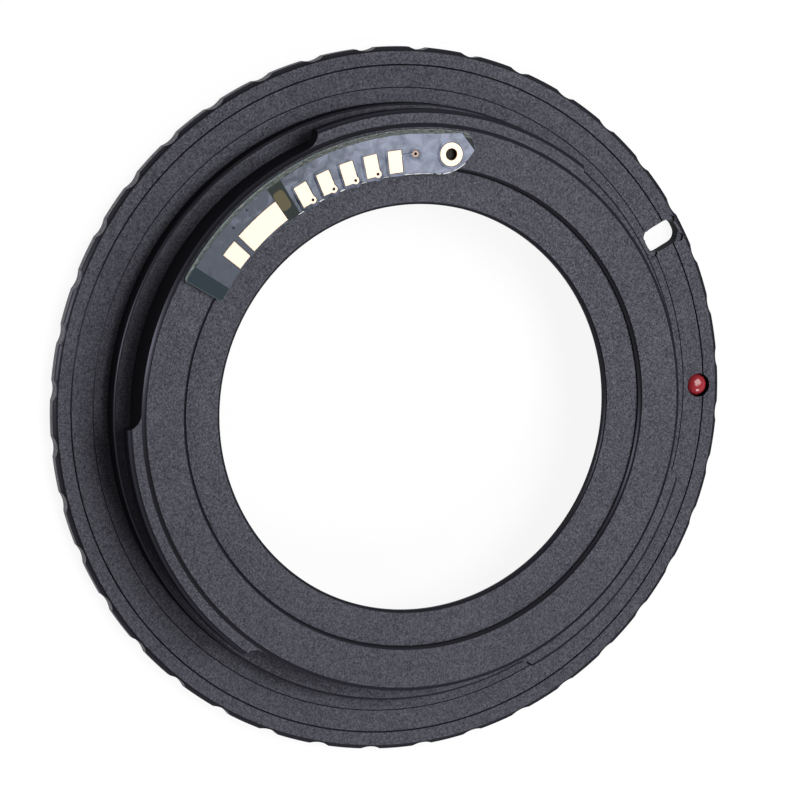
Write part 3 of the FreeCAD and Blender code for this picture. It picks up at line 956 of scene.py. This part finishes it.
def maskOutline(b, c, places):
    inset = b["maskInset"]
    points = noseToHeel(b, inset)
    points += arcPoints(b["innerRadius"] + inset, b["heelAngle"], places["window"][0])[1:]
    points += arcPoints(c["maskRim"], places["window"][0], c["maskRimStart"])
    points.append(polar(*b["maskShoulder"]))
    return points


def lobedPad(c, gap=0.0):
    # a pad with a round lobe at its inner corner, centred on (0, 0), the ring's centre towards -x
    halfLength, halfWidth = c["length"] / 2 + gap, c["width"] / 2 + gap
    land = c["viaLand"] + gap
    via = Vector((-halfLength + gap + c["viaInward"], -halfWidth + gap + c["viaAside"], 0))
    inEdge = math.sqrt(land ** 2 - (c["viaInward"] + gap) ** 2)
    inSide = math.sqrt(land ** 2 - (c["viaAside"] + gap) ** 2)
    first = math.degrees(math.atan2(-c["viaAside"] - gap, inSide))
    last = math.degrees(math.atan2(inEdge, -c["viaInward"] - gap)) - 360
    points = [via + polar(land, first + (last - first) * i / 16) for i in range(17)]
    points += roundedCorners(halfLength, halfWidth, ((-1, 1), (1, 1), (1, -1)), c["padCorner"] + gap)
    return points, via


def roundedCorners(halfLength, halfWidth, corners, radius, count=4):
    points = []
    for x, y in corners:
        centre = Vector((x * (halfLength - radius), y * (halfWidth - radius), 0))
        middle = math.degrees(math.atan2(y, x))
        points += [centre + polar(radius, middle + 45 - 90 * i / count) for i in range(count + 1)]
    return points


def squarePad(c, gap=0.0):
    corners = ((-1, -1), (-1, 1), (1, 1), (1, -1))
    return roundedCorners(c["length"] / 2 + gap, c["width"] / 2 + gap, corners, c["padCorner"] + gap)


def addCollar(bm, outline, film, r):
    # outline(gap) gives as many points for every gap; the collar slopes up outside and drops inside
    foot, peak, inner, edge = film - r["rooted"], film + r["collarRise"], r["collarInner"], r["collarRound"]
    steps = ((r["collarFoot"], foot), (r["collarTop"], film + r["collarRise"] * 0.92),
             (r["collarTop"] - 3 * edge, peak), (inner + edge, peak), (inner, peak - edge), (inner, foot))
    rows = [[bm.verts.new(Vector((p.x, p.y, z)) * mm) for p in outline(gap)] for gap, z in steps]
    for low, high in zip(rows, rows[1:] + rows[:1]):
        for i in range(len(low)):
            j = (i + 1) % len(low)
            bm.faces.new((low[i], low[j], high[j], high[i]))


def addRidge(bm, start, end, film, r, stations=16, sides=8):
    # lacquer over the trace: a low half-round that widens to the via like a drop
    along = (end - start).normalized()
    aside = Vector((-along.y, along.x, 0))
    loops = []
    for i in range(stations + 1):
        t = i / stations
        half = r["ridgeHalfWidth"] + (r["ridgeAtVia"] - r["ridgeHalfWidth"]) * t ** 4
        centre = start + (end - start) * t
        centre.z = film - r["rooted"]
        arch = [math.pi * k / sides for k in range(sides + 1)]
        loops.append([centre + aside * (half * math.cos(a)) + Vector((0, 0, r["ridgeRise"] * math.sin(a)))
                      for a in arch])
    addLoft(bm, loops)


def makeLaminate(b, c, vias):
    eyelet = polar(b["eyeletRadius"], b["eyeletAngle"])
    holes = [circlePoints(place, c["viaHole"], 20) for place in vias]
    holes.append(circlePoints(eyelet, c["eyeletWall"], 40))
    laminate = meshObject("boardLaminate", flatMesh("boardLaminate", [laminateOutline(b)] + holes,
                                                   boardBottom, boardTop, b["edgeRound"]))
    weightNormals(laminate)
    finish(laminate, laminateFinish, "laminate", "board_laminate")


def makeMask(b, c, r, places, padAngles, testVia):
    film = boardTop + c["maskFilm"]
    middle, gap = places["middle"], c["maskGap"]
    eyelet = polar(b["eyeletRadius"], b["eyeletAngle"])
    outlines = [lambda g, a=a: placed(lobedPad(c, g)[0], middle, a) for a in padAngles[1:]]
    outlines.append(lambda g: placed(squarePad(c, g), middle, padAngles[0]))
    outlines.append(lambda g: circlePoints(testVia, c["testViaLand"] + g))
    outlines.append(lambda g: circlePoints(eyelet, c["eyeletLand"] + g, 64))
    loops = [maskOutline(b, c, places)] + [outline(gap) for outline in outlines]
    inner, outer = c["innerRadius"] - gap, c["innerRadius"] + c["length"] + gap
    side = math.degrees(gap / middle)
    loops += [
        sector(b["innerRadius"] + b["maskInset"], c["maskEndRim"], places["long"][0], places["maskEnd"]),
        sector(inner, outer, places["long"][0] + c["windowLap"], places["long"][1] + side),
        sector(inner, outer, places["square"][0] - side, places["square"][1] + side),
    ]
    bm = bmesh.new()
    bm.from_mesh(flatMesh("maskFilm", loops, boardTop, film, c["maskRound"]))
    for outline in outlines:
        addCollar(bm, outline, film, r)
    via = viaBeside(c, middle)
    ends = [Vector((via.x, -c["width"] / 2 - r["collarInner"], 0)),
            Vector((via.x, via.y + c["testViaLand"] + r["collarInner"], 0))]
    addRidge(bm, *placed(ends, middle, padAngles[0]), film, r)
    foot = film - r["rooted"]
    turns = [math.radians(t) for t in range(0, 90, 15)]
    dome = [(r["bumpRadius"] * math.cos(t), foot + r["bumpRise"] * math.sin(t)) for t in turns]
    for place in r["bumps"]:
        addLathe(bm, [(0, foot)] + dome + [(0, film + r["bumpRise"])], polar(*place), 16)
    mask = meshObject("solderMask", meshFrom(bm, "solderMask", 0.0))
    weightNormals(mask)
    finish(mask, maskFinish, "mask", "solder_mask")


def contactRow():
    # copies of one pad turned about the optical axis, a pitch apart
    tree, given = geometryTree("contactRow", count=1, firstAngle=0.0, pitchAngle=0.0, finish=goldFinish)
    line = addNode(tree, "GeometryNodeMeshLine", given["count"], sockets={"Offset": (0, 0, 0)})
    number = addNode(tree, "GeometryNodeInputIndex")
    angle = addNode(tree, "ShaderNodeMath", number, given["pitchAngle"], given["firstAngle"],
                    operation="MULTIPLY_ADD")
    turn = addNode(tree, "ShaderNodeCombineXYZ", 0.0, 0.0, angle)
    copies = addNode(tree, "GeometryNodeInstanceOnPoints", line, sockets={
        "Instance": given["geometry"], "Rotation": turn})
    finishTree(tree, copies, given["finish"])
    return tree


def viaBeside(c, middle):  # the test via's place in the first pad's own frame
    turn = math.radians(c["firstAngle"] - c["testViaAngle"])
    return Vector((c["testViaRadius"] * math.cos(turn) - middle, -c["testViaRadius"] * math.sin(turn), 0))


def tracedPad(c, via):
    # the first contact, its trace and the test via's land as one outline
    half, side = c["traceWidth"] / 2, -c["width"] / 2
    swing = math.degrees(math.asin(half / c["testViaLand"]))
    land = [via + polar(c["testViaLand"], 90 - swing - (360 - 2 * swing) * i / 24) for i in range(25)]
    return [Vector((via.x + half, side, 0))] + land + [Vector((via.x - half, side, 0))] + squarePad(c)


def makeContacts(b, c, places, testVia):
    e, middle = c["edgeRound"], places["middle"]
    pad, viaPlace = lobedPad(c)
    loops = [placed(outline, middle, 0) for outline in (pad, circlePoints(viaPlace, c["viaHole"], 20))]
    contacts = meshObject("contactRow", flatMesh("contactRow", loops, boardTop, copperTop, e))
    addTree(contacts, contactRow(), {
        "count": c["count"] - 1,
        "firstAngle": math.radians(c["firstAngle"] + c["pitchAngle"]),
        "pitchAngle": math.radians(c["pitchAngle"]),
        "finish": goldFinish,
    })
    applied(contacts)
    finish(contacts, goldFinish, "contacts", *["contact_%d" % n for n in range(2, c["count"] + 1)])
    traced = placed(tracedPad(c, viaBeside(c, middle)), middle, c["firstAngle"])
    radii = (c["innerRadius"], c["innerRadius"] + c["length"])
    flats = {
        "tracedContact": ([traced, circlePoints(testVia, c["viaHole"], 20)], "contact_1"),
        "longContact": ([sector(*radii, *places["long"])], "long_contact"),
        "squareContact": ([sector(*radii, *places["square"])], "square_contact"),
    }
    for name, (loops, node) in flats.items():
        piece = meshObject(name, flatMesh(name, loops, boardTop, copperTop, e))
        finish(piece, goldFinish, "contacts", node)
    wall, land, hole, rim = c["eyeletWall"], c["eyeletLand"], c["eyeletHole"], c["eyeletRound"]
    profile = [(hole, boardBottom), (wall, boardBottom), (wall, boardTop), (land, boardTop),
               (land, copperTop - e), (land - e, copperTop), (hole + rim, copperTop),
               (hole, copperTop - rim)]
    centre = polar(b["eyeletRadius"], b["eyeletAngle"])
    eyelet = meshObject("platedEyelet", latheMesh("platedEyelet", profile, centre, 48))
    smoothBetweenFlats(eyelet.data)
    finish(eyelet, goldFinish, "contacts", "plated_eyelet")


# Glue squeezed out along the inner edge, and glass fibres torn up along the sawn outer edge

edgeTrim = {
    "glueDrops": {"count": 80, "seed": 4, "chance": 0.7, "length": 0.8, "width": 0.12, "height": 0.12,
                  "inset": 0.01, "below": 0.04},
    "glassFibres": {"count": 320, "seed": 9, "chance": 0.55, "length": 0.2, "width": 0.035, "height": 0.03,
                    "inset": 0.02, "below": 0.01},
    "glueEnd": 122.0,
    "glueNoseStep": 6,  # the drops start at this point of the nose's arc
    "fibreEndGap": 1.0,
}


def edgeDrops(material):
    # rounded drops of random length strung along a curve
    tree, given = geometryTree("edgeDrops", count=1, seed=0, chance=0.0, length=0.0, width=0.0, height=0.0,
                               finish=material)
    places = addNode(tree, "GeometryNodeResampleCurve", given["geometry"], sockets={
        "Count": given["count"]})
    chosen = addNode(tree, "FunctionNodeRandomValue", data_type="BOOLEAN", sockets={
        "Probability": given["chance"], "Seed": given["seed"]})
    along = addNode(tree, "FunctionNodeAlignRotationToVector", axis="X", sockets={
        "Vector": addNode(tree, "GeometryNodeInputTangent")})
    size = addNode(tree, "ShaderNodeCombineXYZ", given["length"], given["width"], given["height"])
    spread = addNode(tree, "FunctionNodeRandomValue", data_type="FLOAT", sockets={
        "Min": 0.25, "Max": 1.0, "Seed": given["seed"]})
    scale = addNode(tree, "ShaderNodeVectorMath", size, spread.outputs[1], operation="MULTIPLY")
    drop = addNode(tree, "GeometryNodeMeshIcoSphere", 0.5, 2)
    smooth = addNode(tree, "GeometryNodeSetShadeSmooth", drop)
    drops = addNode(tree, "GeometryNodeInstanceOnPoints", places, sockets={
        "Selection": chosen.outputs[3], "Instance": smooth, "Rotation": along, "Scale": scale})
    finishTree(tree, drops, given["finish"])
    return tree


def strungAlong(name, path, material, slot, settings):
    curve = bpy.data.curves.new(name, "CURVE")
    curve.dimensions = "3D"
    spline = curve.splines.new("POLY")
    spline.points.add(len(path) - 1)
    for point, place in zip(spline.points, path):
        point.co = (place.x * mm, place.y * mm, (boardTop - settings["below"]) * mm, 1)
    piece = meshObject(name, curve)
    sizes = {key: settings[key] * mm for key in ("length", "width", "height")}
    addTree(piece, edgeDrops(material), {**settings, **sizes, "finish": material})
    mesh = evaluated(piece)
    bpy.data.objects.remove(piece)
    finish(meshObject(name, mesh), material, slot)


def makeTrim(b, trim):
    glue, fibres = trim["glueDrops"], trim["glassFibres"]
    inner = noseToHeel(b, 0.0)[trim["glueNoseStep"]:]
    inner += arcPoints(b["innerRadius"] - glue["inset"], b["heelAngle"], trim["glueEnd"])[1:]
    strungAlong("glueDrops", inner, glueFinish, "adhesive", glue)
    end = b["squareEnd"] - trim["fibreEndGap"]
    outer = arcPoints(b["outerRadius"] - fibres["inset"], b["shoulderAngle"], end)
    strungAlong("glassFibres", outer, fibreFinish, "laminate", fibres)


def makeBoard(b, c, r):
    places = boardPlaces(c)
    padAngles = [c["firstAngle"] + n * c["pitchAngle"] for n in range(c["count"])]
    testVia = polar(c["testViaRadius"], c["testViaAngle"])
    viaPlace = lobedPad(c)[1]
    vias = [placed([viaPlace], places["middle"], angle)[0] for angle in padAngles[1:]] + [testVia]
    makeLaminate(b, c, vias)
    makeMask(b, c, r, places, padAngles, testVia)
    makeContacts(b, c, places, testVia)


makeBoard(boardShape, contactShape, maskRelief)
makeTrim(boardShape, edgeTrim)
print("board and its edges made")


# Index bead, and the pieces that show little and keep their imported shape

bead = {
    "radius": 1.05,
    "footRound": 0.03,
    "fullness": 2.6,  # 2 is a ball; the drop of enamel stands a little squarer
    "steps": 15,
}


def makeBead(b, c):
    low, top, radius = nodeBottom("index_bead"), seatFace, b["radius"]
    profile = [(0, low), (radius - b["footRound"], low), (radius, low + b["footRound"])]
    for i in range(b["steps"]):
        turn = math.pi / 2 * i / b["steps"]
        out, up = (part ** (2 / b["fullness"]) for part in (math.cos(turn), math.sin(turn)))
        profile.append((radius * out, top - radius + radius * up))
    profile.append((0, top))
    piece = meshObject("indexBead", latheMesh("indexBead", profile, polar(c["beadPlace"], 0), 64))
    smoothBetweenFlats(piece.data)
    finish(piece, beadFinish, "bead", "index_bead")


makeBead(bead, cuts)

packedFinishes = {"adhesive_film": filmFinish, "controller_chip": chipFinish, "capacitor": ceramicFinish}
for name, material in packedFinishes.items():
    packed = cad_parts[name]
    packed.data.materials.clear()
    packed.data.materials.append(material)
print("bead made, packed pieces coated")


# Camera at the photograph's angle

photoView = {
    "focalMm": 192.11,
    "sensorMm": 36.0,
    "tiltDeg": 21.461,
    "tiltAxisDeg": 70.094,
    "beadTurnDeg": 1.647,
    "shiftMm": (-0.402, -0.122, -384.19),
}


def makeCamera(v):
    camera = bpy.data.cameras.new("photoCamera")
    camera.lens = v["focalMm"]
    camera.sensor_width = v["sensorMm"]
    camera.clip_start = 0.01
    camera.clip_end = 10
    holder = bpy.data.objects.new("photoCamera", camera)
    bpy.context.scene.collection.objects.link(holder)
    axis = polar(1, v["tiltAxisDeg"])
    toView = (Matrix.Rotation(math.radians(v["tiltDeg"]), 3, axis)
              @ Matrix.Rotation(math.radians(v["beadTurnDeg"]), 3, "Z"))
    place = toView.transposed() @ (-Vector(v["shiftMm"])) + Vector((0, 0, seatFace))
    holder.matrix_world = Matrix.Translation(place * mm) @ toView.transposed().to_4x4()
    bpy.context.scene.camera = holder


makeCamera(photoView)
print("camera placed")


# Floor, light and background

studio = {  # in metres, watts and degrees
    "floorSize": 4.0,
    "lampDistance": 0.4,
    "lamps": {
        "key": {"azimuth": 25, "elevation": 64, "size": 0.26, "power": 1.66},
        "left": {"azimuth": 168, "elevation": 21, "size": 0.1, "power": 0.6},
        "low": {"azimuth": -57, "elevation": 42, "size": 0.12, "power": 0.6},
    },
    "ambient": 0.035,
    "ceiling": 0.1,
    "ceilingHeights": (0.2, 0.6),
    "floorGlow": 0.9,
}


def seenDirectly(tree):  # by the camera, or in a reflection or through glass
    path = addNode(tree, "ShaderNodeLightPath").outputs
    mirrored = addNode(tree, "ShaderNodeMath", path["Is Glossy Ray"], path["Is Transmission Ray"],
                       operation="MAXIMUM")
    return addNode(tree, "ShaderNodeMath", path["Is Camera Ray"], mirrored, operation="MAXIMUM")


def makeFloor(size, floorGlow):
    mesh = bpy.data.meshes.new("studioFloor")
    corners = [(x * size / 2, y * size / 2, 0) for x, y in ((-1, -1), (1, -1), (1, 1), (-1, 1))]
    mesh.from_pydata(corners, [], [(0, 1, 2, 3)])
    floor = meshObject("studioFloor", mesh)
    # matt white paper: the glow keeps it white in view, and what is left of its own shade keeps the shadow
    material, tree = startMaterial("mattPaper", {"Roughness": 0.9, "Base Color": colour("#f4f4f4")})[:2]
    glow = addNode(tree, "ShaderNodeEmission", (1, 1, 1, 1), 1.0)
    share = addNode(tree, "ShaderNodeMath", seenDirectly(tree), floorGlow, operation="MULTIPLY")
    mix = addNode(tree, "ShaderNodeMixShader", share, tree.nodes["Principled BSDF"], glow)
    tree.links.new(mix.outputs[0], tree.nodes["Material Output"].inputs["Surface"])
    mesh.materials.append(material)


def makeLamp(name, distance, azimuth, elevation, size, power):
    lamp = bpy.data.lights.new(name, "AREA")
    lamp.size = size
    lamp.energy = power
    holder = bpy.data.objects.new(name, lamp)
    bpy.context.scene.collection.objects.link(holder)
    up = math.radians(elevation)
    direction = polar(math.cos(up), azimuth) + Vector((0, 0, math.sin(up)))
    holder.location = direction * distance
    holder.rotation_euler = direction.to_track_quat("Z", "Y").to_euler()


def makeWorld(ambient, ceiling, ceilingHeights):
    # white walls under a dim ceiling for the camera and reflections, and a low even glow on the object
    world = bpy.data.worlds.new("whiteStudio")
    bpy.context.scene.world = world
    world.use_nodes = True
    tree = world.node_tree
    direction = addNode(tree, "ShaderNodeTexCoord").outputs["Generated"]
    height = addNode(tree, "ShaderNodeSeparateXYZ", direction).outputs["Z"]
    seen = addNode(tree, "ShaderNodeMapRange", height, *ceilingHeights, 1.0, ceiling)
    strength = addNode(tree, "ShaderNodeMix", data_type="FLOAT", sockets={
        "Factor": seenDirectly(tree), "A": ambient, "B": seen})
    background = tree.nodes["Background"]
    background.inputs["Color"].default_value = (1, 1, 1, 1)
    tree.links.new(strength.outputs[0], background.inputs["Strength"])


makeFloor(studio["floorSize"], studio["floorGlow"])
for name, lamp in studio["lamps"].items():
    makeLamp(name, studio["lampDistance"], **lamp)
makeWorld(studio["ambient"], studio["ceiling"], studio["ceilingHeights"])
bpy.context.scene.view_settings.view_transform = "Standard"
print("studio made")
